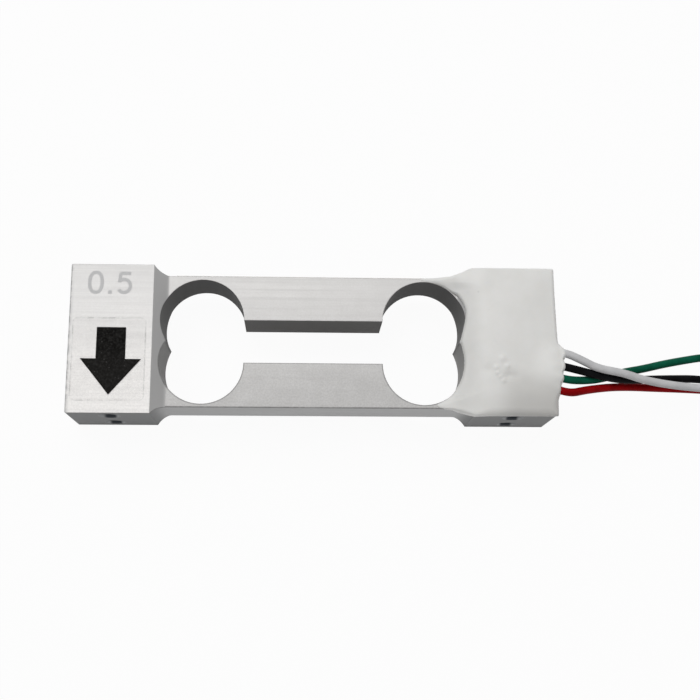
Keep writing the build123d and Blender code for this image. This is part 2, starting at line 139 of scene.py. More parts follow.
def bare_end(name):
    """Where the insulation ends at the coil's inside, and the direction of the bare wire."""
    _, layer, angle, _ = LEADS[name]
    turn = math.radians(90 + angle)
    start = np.array((COIL_CENTRE[0] + COIL_INNER_RADIUS - LEAD_DIAMETER / 2, COIL_CENTRE[1], level(layer)))
    return start, np.array((math.cos(turn), math.sin(turn), 0.0))


def spiral(layer):
    """Control points of the flat spiral. The radius falls evenly with the angle, and each
    point stands a little outside it, because a quadratic spline cuts inside its corners."""
    steps = np.arange(-1, int(COIL_TURNS * COIL_POINTS_PER_TURN)) + 0.5
    step = 2 * math.pi / COIL_POINTS_PER_TURN
    angle = -math.pi / 2 + steps * step
    radius = coil_radius - COIL_PITCH * np.clip(steps, 0, None) / COIL_POINTS_PER_TURN
    radius = radius / math.cos(step / 2)
    x = COIL_CENTRE[0] + radius * np.cos(angle)
    y = COIL_CENTRE[1] + radius * np.sin(angle)
    y[:2] = coil_low_y
    return np.stack([x, y, np.full_like(x, level(layer))], axis=1)


def lead_points(name):
    """All control points of a lead: out of the silicone, down to the coil, round it, and in."""
    pad_y, layer, _, route = LEADS[name]
    start = [(PAD_X, pad_y, PAD_Z)]
    outside = [(HALF_LENGTH + x, y, z) for x, y, z in route]
    way_in = [(x, coil_low_y, level(layer)) for x in WAY_IN_X]
    end, direction = bare_end(name)
    return np.array([*start, *outside, *way_in, *spiral(layer), end + direction * 0.25])


lead_control = {name: lead_points(name) for name in LEADS}
print("control points:", {name: len(points) for name, points in lead_control.items()})

# %% Draw the leads
def cord_curve(name, points):
    """A NURBS curve through space. Its bevel is a circle of radius 1, and each point's own
    radius makes it as thick as the insulation."""
    data = bpy.data.curves.new(name, "CURVE")
    data.dimensions = "3D"
    data.resolution_u = 10
    data.bevel_depth = 1.0
    data.bevel_resolution = 5
    data.use_fill_caps = True
    line = data.splines.new("NURBS")
    line.points.add(len(points) - 1)
    weighted = np.concatenate([points * MM, np.ones((len(points), 1))], axis=1)
    line.points.foreach_set("co", weighted.ravel())
    line.points.foreach_set("radius", np.full(len(points), LEAD_DIAMETER / 2 * MM))
    line.order_u = 3
    line.use_endpoint_u = True
    return placed(name, data)


def centreline(piece):
    """The line of a curve object, in millimetres, as Blender draws it with no bevel."""
    depth = piece.data.bevel_depth
    piece.data.bevel_depth = 0.0
    mesh = bpy.data.meshes.new_from_object(piece)
    piece.data.bevel_depth = depth
    line = np.zeros(len(mesh.vertices) * 3)
    mesh.vertices.foreach_get("co", line)
    bpy.data.meshes.remove(mesh)
    return line.reshape(-1, 3) / MM


def length_to(line):
    """The length of a line from its start to each of its points."""
    return np.concatenate([[0], np.cumsum(np.linalg.norm(np.diff(line, axis=0), axis=1))])


leads = {name: cord_curve(f"lead_run_{name}", points) for name, points in lead_control.items()}
lines = {name: centreline(piece) for name, piece in leads.items()}
for name, line in lines.items():
    print(name, "lead:", round(length_to(line)[-1], 1), "mm of centreline")

# %% [markdown]
# ## Surfaces from numbers
# Every new piece is a grid of points worked out with numpy. One helper turns grids into one
# closed mesh: it lays four-sided faces between neighbouring points, joins grids where their
# edges meet, and turns the faces outwards.

# %% From grids to a closed mesh
import bmesh


def unit(vectors):
    """Vectors of length 1 with the same directions."""
    return vectors / np.linalg.norm(vectors, axis=-1, keepdims=True)


def quads(rows, columns, wrap_rows=False, wrap_columns=False):
    """Corner numbers of the faces between neighbouring points of a grid."""
    row = np.arange(rows if wrap_rows else rows - 1)
    column = np.arange(columns if wrap_columns else columns - 1)
    row, column = (a.ravel() for a in np.meshgrid(row, column, indexing="ij"))
    next_row, next_column = (row + 1) % rows, (column + 1) % columns
    corners = [row * columns + column, row * columns + next_column]
    corners += [next_row * columns + next_column, next_row * columns + column]
    return np.stack(corners, axis=1)


def closed_piece(name, grids, sharp_degrees=None):
    """One object from grids of points in millimetres, each with its wrap flags."""
    points, faces, start = [], [], 0
    for grid, wrap_rows, wrap_columns in grids:
        rows, columns = grid.shape[:2]
        points.append(grid.reshape(-1, 3) * MM)
        faces.append(quads(rows, columns, wrap_rows, wrap_columns) + start)
        start += rows * columns
    mesh = bpy.data.meshes.new(name)
    mesh.from_pydata(np.concatenate(points), [], np.concatenate(faces).tolist())
    work = bmesh.new()
    work.from_mesh(mesh)
    bmesh.ops.remove_doubles(work, verts=work.verts, dist=1e-8)
    bmesh.ops.dissolve_degenerate(work, edges=work.edges, dist=1e-9)
    bmesh.ops.recalc_face_normals(work, faces=work.faces)
    loose = sum(1 for edge in work.edges if len(edge.link_faces) != 2)
    work.to_mesh(mesh)
    work.free()
    mesh.polygons.foreach_set("use_smooth", np.ones(len(mesh.polygons), dtype=bool))
    if sharp_degrees is not None:
        mesh.set_sharp_from_angle(angle=math.radians(sharp_degrees))
    print(name, "faces:", len(mesh.polygons), "open edges:", loose)
    return placed(name, mesh)


def tube(line, radius, sides):
    """A round tube along a line. Each ring stands square to the line, and the first and last
    rings shrink to a point, so the tube is closed. radius is one value for each point."""
    along = unit(np.gradient(line, axis=0))
    up = np.array((0.0, 0.0, 1.0)) if abs(along[0, 2]) < 0.9 else np.array((1.0, 0.0, 0.0))
    side = unit(np.cross(along, up))
    over = np.cross(side, along)
    angle = np.linspace(0, 2 * math.pi, sides, endpoint=False)
    ring = np.cos(angle)[None, :, None] * side[:, None] + np.sin(angle)[None, :, None] * over[:, None]
    body = line[:, None] + ring * np.asarray(radius)[:, None, None]
    first, last = (np.broadcast_to(line[i], (1, sides, 3)) for i in (0, -1))
    return np.concatenate([first, body, last]), False, True


# %% [markdown]
# ## The silicone
# The terminals are buried in white silicone that was pressed on and smoothed by hand. It lies
# over the whole face of the block, climbs down the slanted step, and creeps out in two wings
# beside the bores. Here its outline is one closed line. The top is a height over the plan:
# a ramp over the step, a low crown over the terminals, a rise where the leads leave, and small
# lumps over the solder. Near the outline it rounds off, and a thin skirt laps over the edges.

# %% Outline of the silicone
BLOCK_X, HALF_HEIGHT = 14.85, 7.0
STEP_FOOT_X, RECESS_Z, FACE_Z = 13.65, 5.9, 7.0
BORE_X, BORE_Y, BORE_RADIUS = 10.36, 2.03, 3.88
OVERHANG = 0.07
# Where the silicone ends beside each bore: degrees at the bore's centre, and the radius. It
# hangs over the lower bore's rim, and draws back a little from the upper one's.
LOWER_RIM = [
    (-31.5, 3.94), (-28, 3.91), (-23, 3.83), (-17, 3.76), (-11, 3.73), (-5, 3.70), (0, 3.68), (6, 3.68),
    (12, 3.67), (18, 3.69), (24, 3.70), (31, 3.74), (38, 3.76), (50, 3.87), (65, 3.91), (90, 3.91),
]
UPPER_RIM = [
    (-31.5, 3.88), (-27, 3.84), (-21, 3.77), (-15, 3.75), (-9, 3.75), (-3, 3.79), (2, 3.85), (8, 3.94),
    (13, 3.99), (19, 4.03), (25, 4.06), (36, 4.09), (41, 4.06), (46, 3.96), (54, 3.92), (90, 3.91),
]


def bore_edge(side, first, last, count):
    """Points of the silicone's edge beside the bore above (1) or below (-1), between two angles
    in degrees at its centre. The radius at each angle is read off the table above."""
    table = np.array(UPPER_RIM if side > 0 else LOWER_RIM)
    degrees = np.linspace(first, last, count)
    radius, angle = np.interp(degrees, table[:, 0], table[:, 1]), np.radians(degrees)
    return np.stack([BORE_X + radius * np.cos(angle), side * (BORE_Y + radius * np.sin(angle))], axis=1)


def resample(points, shares, soften):
    """Points at given shares of a line's length, after a moving average rounds its corners."""
    points = np.asarray(points, float)
    length = length_to(points)
    fine = np.linspace(0, length[-1], 4000)
    path = np.stack([np.interp(fine, length, points[:, i]) for i in range(2)], axis=1)
    reach = max(1, int(soften / length[-1] * 4000))
    kernel = np.hanning(2 * reach + 1)
    kernel /= kernel.sum()
    before, after = 2 * path[0] - path[reach:0:-1], 2 * path[-1] - path[-2:-reach - 2:-1]
    padded = np.concatenate([before, path, after])
    path = np.stack([np.convolve(padded[:, i], kernel, "valid") for i in range(2)], axis=1)
    length = length_to(path)
    place = np.asarray(shares) * length[-1]
    return np.stack([np.interp(place, length, path[:, i]) for i in range(2)], axis=1)


low_corners = [
    (11.5, -6.0), (11.75, -6.16), (12.3, -6.26), (12.9, -6.3), (13.9, -6.64),
    (BLOCK_X, -HALF_HEIGHT - 0.04), (16.4, -HALF_HEIGHT - OVERHANG), (20.0, -HALF_HEIGHT - OVERHANG),
    (22.35, -HALF_HEIGHT - OVERHANG), (22.57, -7.03),
]
right_corners = [
    (22.57, -7.03), (22.6, -6.8), (22.61, -6.2), (22.61, -5.66), (22.68, -5.32), (22.82, -5.02),
    (22.88, -4.74), (22.85, -4.44), (22.92, -4.14), (23.13, -3.8), (23.16, -3.48), (23.08, -3.1),
    (23.34, -2.64), (23.34, -2.34), (23.2, -1.9), (23.48, -1.42), (23.48, -1.05), (23.3, -0.74),
    (22.98, -0.46), (22.78, -0.2), (22.73, 0.2), (22.7, 1.4), (22.63, 4.0), (22.6, 6.8), (22.57, 6.99),
]
high_corners = [
    (10.05, 6.12), (10.2, 6.2), (10.6, 6.26), (11.75, 6.33), (13.0, 6.47), (13.86, 6.73),
    (BLOCK_X, HALF_HEIGHT + 0.03), (16.4, HALF_HEIGHT + 0.03), (22.4, HALF_HEIGHT + 0.03), (22.57, 6.99),
]
left_corners = [
    (11.5, -6.0), (11.48, -5.88), (11.6, -5.78), *bore_edge(-1, 66.8, -31.3, 80),
    *bore_edge(1, -31.3, 82, 80), (10.45, 5.98), (10.15, 6.05), (10.05, 6.12),
]


def crowded(count):
    """Shares from 0 to 1 that lie closer together at both ends: an even ramp with a cosine."""
    share = np.linspace(0, 1, count)
    return 0.45 * share + 0.275 * (1 - np.cos(math.pi * share))


U_SHARE, V_SHARE = crowded(130), crowded(220)
low_side = resample(low_corners, U_SHARE, 0.14)
high_side = resample(high_corners, U_SHARE, 0.14)
left_side = resample(left_corners, V_SHARE, 0.12)
right_side = resample(right_corners, V_SHARE, 0.12)
FINE = np.linspace(0, 1, 400)
all_corners = (low_corners, right_corners, high_corners, left_corners)
outline = np.concatenate([resample(corners, FINE, 0.13) for corners in all_corners])
print("silicone outline:", len(outline), "points")

# %% Height of the silicone
LUMPS = [
    (17.38, -1.88, 0.13, 0.30), (17.80, -2.60, 0.13, 0.20), (16.76, -2.72, 0.11, 0.22),
    (16.88, -3.22, 0.12, 0.18), (17.13, -3.55, 0.11, 0.19), (17.42, -3.93, 0.11, 0.19),
    (17.88, -3.45, -0.15, 0.36), (18.5, -3.5, -0.10, 0.45), (15.98, -2.95, -0.09, 0.5),
    (19.6, -4.9, 0.07, 0.9), (20.9, -0.9, -0.06, 0.8),
    (18.6, 3.6, 0.05, 1.6), (15.9, 4.9, -0.06, 1.2), (16.2, -5.4, 0.05, 1.0), (21.6, 4.4, -0.04, 1.3),
]


def smooth(t):
    """A ramp from 0 to 1 that starts and ends level: 3 t squared less 2 t cubed."""
    t = np.clip(t, 0, 1)
    return t * t * (3 - 2 * t)


def metal_height(x):
    """Top of the beam under the silicone: the recessed face, the slanted step, the block."""
    return RECESS_Z + (FACE_Z - RECESS_Z) * np.clip((x - STEP_FOOT_X) / (BLOCK_X - STEP_FOOT_X), 0, 1)


def silicone_height(x, y):
    """A ramp over the step, plus a crown that falls off as a parabola each way, plus a bell
    shaped rise at the leads, plus one small bell for each lump, plus slow waves."""
    height = 5.96 + 1.39 * smooth((x - 10.1) / 6.3)
    over_wires = smooth((x - 12.8) / 0.9) * smooth((17.2 - x) / 1.8)
    height += 0.15 * over_wires * np.exp(-(((y - 5.5) / 0.85) ** 2))
    crown_x = np.clip(1 - ((x - 17.55) / 5.2) ** 2, 0, None)
    crown_y = np.clip(1 - ((y + 0.9) / 7.6) ** 2, 0, None)
    height += 0.75 * crown_x * crown_y
    height += 0.78 * np.exp(-(((x - 22.6) / 1.9) ** 2) - ((y + 3.0) / 2.7) ** 2)
    for lead_y in (-1.2, -2.45, -3.6, -4.65):
        height += 0.06 * smooth((x - 21.5) / 1.2) * np.exp(-(((y - lead_y) / 0.36) ** 2))
    for lump_x, lump_y, rise, reach in LUMPS:
        height += rise * np.exp(-((x - lump_x) ** 2 + (y - lump_y) ** 2) / reach**2)
    return height + 0.012 * np.sin(1.9 * x + 0.8 * y) * np.sin(1.3 * y - 0.4 * x + 1.0)


def edge_distance(x, y):
    """Distance in plan from each point to the nearest point of the outline."""
    flat = np.stack([x.ravel(), y.ravel()], axis=1)
    nearest = np.empty(len(flat))
    for first in range(0, len(flat), 4000):
        part = flat[first:first + 4000]
        gap = part[:, None] - outline[None]
        nearest[first:first + 4000] = np.sqrt((gap**2).sum(axis=2).min(axis=1))
    return nearest.reshape(x.shape)


def quarter_round(distance, width):
    """0 at the outline, then a quarter circle up to 1 where the distance equals the width."""
    return np.sqrt(np.clip(1 - (1 - np.clip(distance / width, 0, 1)) ** 2, 0, 1))


def silicone_top(x, y, distance):
    """The surface over the plan. On the block it rises from the metal in a quarter circle,
    which is wider along the lower edge. Beside the bores and in the lower wing a thin lip comes
    first, and the rest grows slowly over 2.7 mm, over a base that smooths the metal's step."""
    metal = metal_height(x) - 0.02
    soft = RECESS_Z + 1.1 * smooth((x - 12.7) / 2.6)
    floor_z = metal + (soft - metal) * quarter_round(distance, 0.3)
    width = 0.35 + 0.35 * smooth((-y - 4.6) / 1.6) * smooth((x - 15.0) / 1.5)
    wiped = 0.35 * quarter_round(distance, 0.13) + 0.65 * smooth(distance / 2.7 + 0.05)
    beside_bore = smooth((16.2 - x) / 2.2) * smooth((6.3 - np.abs(y)) / 1.4)
    low_wing = smooth((16.4 - x) / 2.6) * smooth((-y - 4.0) / 1.2)
    thin = np.maximum(beside_bore, low_wing)
    rise = quarter_round(distance, width) * (1 - thin) + wiped * thin
    return floor_z + (silicone_height(x, y) - floor_z) * rise


# %% Build the silicone
def patch(low, right, high, left):
    """A grid between four lines: low blended with high, plus left blended with right, less the
    blend of the four corners, which both sums hold."""
    u, v = U_SHARE[None, :, None], V_SHARE[:, None, None]
    across = (1 - v) * low[None] + v * high[None]
    along = (1 - u) * left[:, None] + u * right[:, None]
    corners = (1 - v) * ((1 - u) * low[0] + u * low[-1]) + v * ((1 - u) * high[0] + u * high[-1])
    return across + along - corners


def border(grid):
    """The points round a grid, once each: low side, right side, then back over high and left."""
    return np.concatenate([grid[0], grid[1:, -1], grid[-1, -2::-1], grid[-2:0:-1, 0]])


plan = patch(low_side, right_side, high_side, left_side)
up_x, up_y = np.moveaxis(plan[1:, :-1] - plan[:-1, :-1], 2, 0)
across_x, across_y = np.moveaxis(plan[:-1, 1:] - plan[:-1, :-1], 2, 0)
print("smallest cell of the plan:", round(float((across_x * up_y - across_y * up_x).min()), 5), "mm2")
seal_x, seal_y = plan[..., 0], plan[..., 1]
top_z = silicone_top(seal_x, seal_y, edge_distance(seal_x, seal_y))
top = np.stack([seal_x, seal_y, top_z], axis=2)


def skirt_depth(line):
    """How far the silicone laps down each edge: it drapes into the hollows of the relieved
    edges in smooth bells, stays short on the block, and ends at the rim beside the bores."""
    x, y = line[:, 0], line[:, 1]
    at_edge = smooth((np.abs(y) - 6.05) / 0.15)
    low_bell = (y < 0) * at_edge * 0.8 * np.exp(-(((x - 14.1) / 1.5) ** 2))
    high_bell = (y > 0) * at_edge * 2.35 * smooth((x - 11.4) / 2.0) * smooth((16.6 - x) / 2.0)
    low_lap = (y < -6.9) * (0.1 + 0.03 * np.sin(1.6 * x) + 0.02 * np.sin(3.7 * x + 1.0))
    high_lap = (y > 6.9) * (0.14 + 0.04 * np.sin(1.9 * x))
    end_lap = (x > 22.45) * (0.16 + 0.03 * np.sin(2.1 * y) + 0.55 * np.exp(-(((y + 2.9) / 2.3) ** 4)))
    depth = low_bell + high_bell + low_lap + high_lap + end_lap
    kernel = np.hanning(15) / np.hanning(15).sum()
    return np.convolve(np.concatenate([depth[-7:], depth, depth[:7]]), kernel, "valid")


def lowered(ring, drop):
    """A ring of points, moved straight down by its own distance at each point."""
    return ring - np.outer(drop, (0, 0, 1))


rim = border(top)
ahead = np.roll(rim, -2, axis=0) - np.roll(rim, 2, axis=0)
outward = unit(np.stack([-ahead[:, 1], ahead[:, 0], np.zeros(len(rim))], axis=1))
if np.dot(outward[0], (0, -1, 0)) < 0:
    outward = -outward
depth = skirt_depth(rim)
LIP = 0.09
UNDER_LIP = 0.12
skirt = [rim] + [lowered(rim, part * depth) for part in np.linspace(0.15, 1, 6)]
for angle in np.linspace(0.3, math.pi / 2, 5):
    skirt.append(lowered(rim - outward * (1 - math.cos(angle)) * LIP, depth + math.sin(angle) * LIP))
last_ring = lowered(rim - outward * (LIP + UNDER_LIP), depth + LIP)
skirt.append(last_ring)
wide, tall = len(U_SHARE), len(V_SHARE)
high_start = wide + tall - 2
left_start = high_start + wide - 1
under = patch(
    last_ring[:wide],
    last_ring[wide - 1:high_start + 1],
    last_ring[high_start:left_start + 1][::-1],
    np.concatenate([last_ring[left_start:], last_ring[:1]])[::-1],
)
silicone = closed_piece(
    "silicone_cover", [(top, False, False), (np.stack(skirt), False, True), (under, False, False)]
)
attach(silicone, "root")
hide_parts("sealant")

# %% [markdown]
# ## Bare ends and the band
# Each lead ends in a few tinned strands, twisted together. A strand is a tube along a helix.

# %% Tinned strands
STRAND_RADIUS = 0.048
TWIST_RADIUS = 0.098
TWIST_PITCH = 2.4
BARE_LENGTH = 3.2


def strand(name, number):
    """A helix round the bare wire's line, which closes up a little at the tinned tip."""
    start, direction = bare_end(name)
    step = np.linspace(-0.15, BARE_LENGTH, 70)
    side = np.cross(direction, (0, 0, 1.0))
    turn = 2 * math.pi * (step / TWIST_PITCH + number / 6)
    reach = (0 if number == 6 else TWIST_RADIUS) * (1 - 0.2 * smooth((step - 2.6) / 0.6))
    line = start + step[:, None] * direction
    line += (reach * np.cos(turn))[:, None] * side
    line[:, 2] += reach * np.sin(turn)
    radius = np.full(len(step), STRAND_RADIUS)
    radius[-3:] *= (0.97, 0.8, 0.45)
    return tube(line, radius, 10)


bare_wires = {}
for name in LEADS:
    wires = closed_piece(f"bare_strands_{name}", [strand(name, number) for number in range(7)])
    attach(wires, "root")
    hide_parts(f"tinned_end_{name}")
    bare_wires[name] = wires

# %% [markdown]
# The band round the coil is a strip of soft plastic. It is a rounded strip section carried
# round a loop with rounded corners, and its two ends are twisted into a short tail.

# %% Band round the coil
TIE_ANGLE = math.radians(118)
TIE_WIDTH, TIE_THICKNESS = 1.2, 0.19
TIE_MIDDLE = (5.408, 1.75)
TIE_HALF = (2.157, 1.65)
TIE_CORNER = 0.16
TAIL_RADIUS = 0.17


def rounded_loop(half, corner, count):
    """A rectangle with round corners, as points and outward directions: four quarter circles
    round the corners' own middles, joined by straight runs."""
    points, normals = [], []
    for quarter, signs in enumerate([(1, 1), (-1, 1), (-1, -1), (1, -1)]):
        turn = np.linspace(0, math.pi / 2, count // 4) + quarter * math.pi / 2
        middle = np.array(signs, float) * (np.array(half) - corner)
        normal = np.stack([np.cos(turn), np.sin(turn)], axis=1)
        points.append(middle + corner * normal)
        normals.append(normal)
    return np.concatenate(points), np.concatenate(normals)


loop, loop_out = rounded_loop(TIE_HALF, TIE_CORNER, 64)
section = np.linspace(0, 2 * math.pi, 28, endpoint=False)
section_wide = np.sign(np.cos(section)) * np.abs(np.cos(section)) ** 0.35 * TIE_WIDTH / 2
section_thick = np.sign(np.sin(section)) * np.abs(np.sin(section)) ** 0.6 * TIE_THICKNESS / 2
radial = TIE_MIDDLE[0] + loop[:, None, 0] + loop_out[:, None, 0] * section_thick
height = TIE_MIDDLE[1] + loop[:, None, 1] + loop_out[:, None, 1] * section_thick
sideways = np.broadcast_to(section_wide, radial.shape)


def at_tie(radial, sideways, height):
    """Points at a distance from the coil's middle and to one side of the tie's own radius."""
    x = COIL_CENTRE[0] + radial * math.cos(TIE_ANGLE) - sideways * math.sin(TIE_ANGLE)
    y = COIL_CENTRE[1] + radial * math.sin(TIE_ANGLE) + sideways * math.cos(TIE_ANGLE)
    return np.stack([x, y, height], axis=-1)


band_grid = at_tie(radial, sideways, height)


def tail(phase):
    """One of the band's two ends: a thin rod on a helix along the top of the coil."""
    step = np.linspace(0, 1, 60)
    along = 4.0 * step - 0.2
    turn = 2 * math.pi * 3.2 * step + phase
    reach = 0.2 * smooth(step * 5)
    radial = TIE_MIDDLE[0] + along * 0.25 + reach * np.cos(turn)
    line = at_tie(radial, -along, 3.72 - 0.12 * step + reach * np.sin(turn))
    return tube(line, np.full(60, TAIL_RADIUS), 12)


band = closed_piece("coil_band", [(band_grid, True, True), tail(0.0), tail(math.pi)])
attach(band, "root")
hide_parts("coil_tie")

for name, piece in leads.items():
    line = lines[name]
    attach(piece, "root")
    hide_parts(f"lead_{name}", f"coil_{name}")

# %% [markdown]
# ## The film and the number
# The film is a thin clear layer with round corners. Rings of its outline run from a point under
# its middle, round the soft edge, to a point on top, a hair above the metal so that both are drawn.

# %% Clear film
FILM_MIDDLE = (-18.765, -1.98)
FILM_HALF = (3.385, 3.9)
FILM_CORNER = 0.5


def flat_layer(plan, centre, profile):
    """Rings of one outline, each at its own share of the full size and its own height. The
    first and last have size 0, so they close the layer in one point."""
    flat = np.zeros((len(plan), 1))
    rings = [np.hstack([centre + size * (plan - centre), flat + z]) for size, z in profile]
    return np.stack(rings), False, True


film_plan, _ = rounded_loop(FILM_HALF, FILM_CORNER, 48)
film_profile = (
    (0.0, 7.006), (0.995, 7.006), (1.0, 7.02), (1.0, 7.036), (0.997, 7.047), (0.99, 7.05), (0.0, 7.05),
)
film_layer = flat_layer(film_plan + FILM_MIDDLE, np.array(FILM_MIDDLE), film_profile)
label = closed_piece("clear_label", [film_layer], sharp_degrees=50)
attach(label, "root")
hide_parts("label_film")

# %% [markdown]
# The arrow lies on the film as a thin layer of ink, made in the same way. Its seven corners are
# turned into a closed line with even points, and five rings of it, shrunk towards a point in the
# head, make the layer.

# %% Arrow
ARROW_CORNERS = [
    (-18.62, -5.31), (-15.76, -2.0), (-17.22, -2.0), (-17.23, 0.97),
    (-19.89, 0.98), (-19.9, -1.97), (-21.32, -1.96),
]
ARROW_CENTRE = np.array((-18.54, -2.4))
arrow_plan = resample([*ARROW_CORNERS, ARROW_CORNERS[0]], np.linspace(0, 1, 421), 0.014)[:-1]
arrow_profile = ((0.0, 7.048), (1.0, 7.048), (1.0, 7.062), (0.996, 7.066), (0.0, 7.066))
arrow_layer = flat_layer(arrow_plan, ARROW_CENTRE, arrow_profile)
arrow = closed_piece("arrow_on_film", [arrow_layer], sharp_degrees=50)
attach(arrow, "root")
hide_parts("direction_arrow")

# %% [markdown]
# A plain number stands on the free block, above the film, as a light grey print. Each digit is
# a ribbon: a line with a constant width and a very small thickness.

# %% Number on the free block
STROKE = 0.32
NUMBER_Z = (FACE_Z - 0.004, FACE_Z + 0.012)


def ribbon(path, closed, raise_by=0.0):
    """A flat strip along a plan path: at each point the path's normal gives both edges. Where
    two strips cross, one is raised a little, so that their tops don't lie in one plane."""
    ahead = np.roll(path, -1, axis=0) - np.roll(path, 1, axis=0)
    if not closed:
        ahead[0], ahead[-1] = path[1] - path[0], path[-1] - path[-2]
    normal = unit(np.stack([-ahead[:, 1], ahead[:, 0]], axis=1))
    edges = [path + normal * STROKE / 2, path - normal * STROKE / 2]
    low, high = NUMBER_Z[0], NUMBER_Z[1] + raise_by
    corners = [(edges[0], high), (edges[1], high), (edges[1], low), (edges[0], low)]
    grid = np.stack([np.column_stack([edge, np.full(len(path), z)]) for edge, z in corners], axis=1)
    if closed:
        return grid, True, True
    first, last = (np.broadcast_to(grid[i].mean(axis=0), (1, 4, 3)) for i in (0, -1))
    return np.concatenate([first, grid, last]), False, True


angle = np.linspace(0, 2 * math.pi, 72, endpoint=False)
zero_path = np.stack([
    -20.18 + 0.57 * np.sign(np.cos(angle)) * np.abs(np.cos(angle)) ** 0.86,
    5.25 + 0.95 * np.sign(np.sin(angle)) * np.abs(np.sin(angle)) ** 0.86,
], axis=1)
point_path = np.array([(x, 4.33) for x in (-19.02, -18.85, -18.68)])
corner = np.radians(np.linspace(90, 176, 12))
top_path = np.concatenate([
    np.array([(-16.98, 6.14), (-17.25, 6.14), (-17.5, 6.14)]),
    np.stack([-17.73 + 0.2 * np.cos(corner), 5.94 + 0.2 * np.sin(corner)], axis=1),
    np.array([(-17.955, 5.75), (-17.98, 5.5), (-18.01, 5.26)]),
])
bowl = np.radians(np.linspace(137, -146, 48))
bowl_path = np.stack([-17.58 + 0.58 * np.cos(bowl), 4.93 + 0.63 * np.sin(bowl)], axis=1)
ribbons = [ribbon(zero_path, True), ribbon(point_path, False)]
ribbons += [ribbon(top_path, False), ribbon(bowl_path, False, 0.004)]
number = closed_piece("capacity_number", ribbons, sharp_degrees=40)
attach(number, "root")

# %% [markdown]
# ## Material building blocks
# Several finishes share an effect, so each effect is a node group: machined streaks, a soft
# mottling, worn edges and fine specks. A group gives out masks and heights only, and every
# material sets the group's values for itself. All of them read Object coordinates, turned into
# millimetres, so a value of 0.3 means 0.3 mm.

# %% Node helpers
def add(tree, kind, inputs=None, **settings):
    """A node with its settings made first, then its inputs: a socket is linked, a value set."""
    node = tree.nodes.new(kind)
    for key, value in settings.items():
        setattr(node, key, value)
    for key, value in (inputs or {}).items():
        if isinstance(value, bpy.types.NodeSocket):
            tree.links.new(value, node.inputs[key])
        else:
            node.inputs[key].default_value = value
    return node


def tree_of(*values):
    """The node tree of the first socket among some values, so no helper has to be told it."""
    return next(value.id_data for value in values if isinstance(value, bpy.types.NodeSocket))


def link(inputs, **values):
    """Links values to a node's inputs. An underscore in a name stands for a space."""
    for name, value in values.items():
        value.id_data.links.new(value, inputs[name.replace("_", " ")])


def calc(operation, a, b=0.0):
    """One Math node, and its result."""
    return add(tree_of(a, b), "ShaderNodeMath", {0: a, 1: b}, operation=operation).outputs[0]


def times(a, b):
    """The product of two numbers."""
    return calc("MULTIPLY", a, b)


def minus(a, b):
    """The first number less the second."""
    return calc("SUBTRACT", a, b)


def ramp(value, low, high):
    """0 below low, 1 above high, and a smooth climb in between."""
    inputs = {"Value": value, "From Min": low, "From Max": high}
    return add(tree_of(value), "ShaderNodeMapRange", inputs, interpolation_type="SMOOTHSTEP").outputs[0]


def blend(factor, first, second):
    """A colour between two colours."""
    inputs = {0: factor, 6: first, 7: second}
    return add(tree_of(factor), "ShaderNodeMix", inputs, data_type="RGBA").outputs[2]


def between(factor, first, second):
    """A number between two numbers."""
    inputs = {0: factor, 2: first, 3: second}
    return add(tree_of(factor), "ShaderNodeMix", inputs, data_type="FLOAT").outputs[0]


def scaled(vector, factor):
    """A vector times a number."""
    inputs = {0: vector, "Scale": factor}
    return add(tree_of(vector), "ShaderNodeVectorMath", inputs, operation="SCALE").outputs[0]


def parts(vector):
    """The X, Y and Z of a vector."""
    return add(tree_of(vector), "ShaderNodeSeparateXYZ", {0: vector}).outputs


def noise(vector, scale, detail, roughness=0.5):
    """Soft random clouds, 0 to 1: scale sets how many, detail how many finer layers lie in them."""
    inputs = {"Vector": vector, "Scale": scale, "Detail": detail, "Roughness": roughness}
    return add(tree_of(vector), "ShaderNodeTexNoise", inputs).outputs[0]


def grey(value, warm=0.0):
    """A neutral colour, made a little warmer or cooler."""
    return (value * (1 + warm), value, value * (1 - warm), 1.0)


def effect(name, settings, outputs):
    """An empty node group: it takes a Vector and some settings, and gives out what is named."""
    group = bpy.data.node_groups.new(name, "ShaderNodeTree")
    group.interface.new_socket(name="Vector", in_out="INPUT", socket_type="NodeSocketVector")
    for label, value in settings.items():
        socket = group.interface.new_socket(name=label, in_out="INPUT", socket_type="NodeSocketFloat")
        socket.default_value = value
    for label in outputs:
        kind = "NodeSocketVector" if label == "Normal" else "NodeSocketFloat"
        group.interface.new_socket(name=label, in_out="OUTPUT", socket_type=kind)
    return group, group.nodes.new("NodeGroupInput").outputs, group.nodes.new("NodeGroupOutput").inputs


# %% Effect: machined streaks
streaks, given, result = effect("Machined streaks", {"Length": 6.0, "Width": 0.05}, ("Mask", "Height"))
apart = parts(given["Vector"])
stretched = add(streaks, "ShaderNodeCombineXYZ", {
    0: calc("DIVIDE", apart[0], given["Length"]),
    1: calc("DIVIDE", apart[1], given["Width"]),
    2: calc("DIVIDE", apart[2], given["Width"]),
}).outputs[0]
drawn = noise(stretched, 0.6, 3.0)
link(result, Mask=ramp(drawn, 0.35, 0.65), Height=drawn)

# %% Effect: mottling
mottling, given, result = effect("Mottling", {"Size": 1.0}, ("Mask", "Height"))
clouds = noise(scaled(given["Vector"], calc("DIVIDE", 1.0, given["Size"])), 1.0, 5.0, 0.6)
link(result, Mask=ramp(clouds, 0.3, 0.7), Height=clouds)

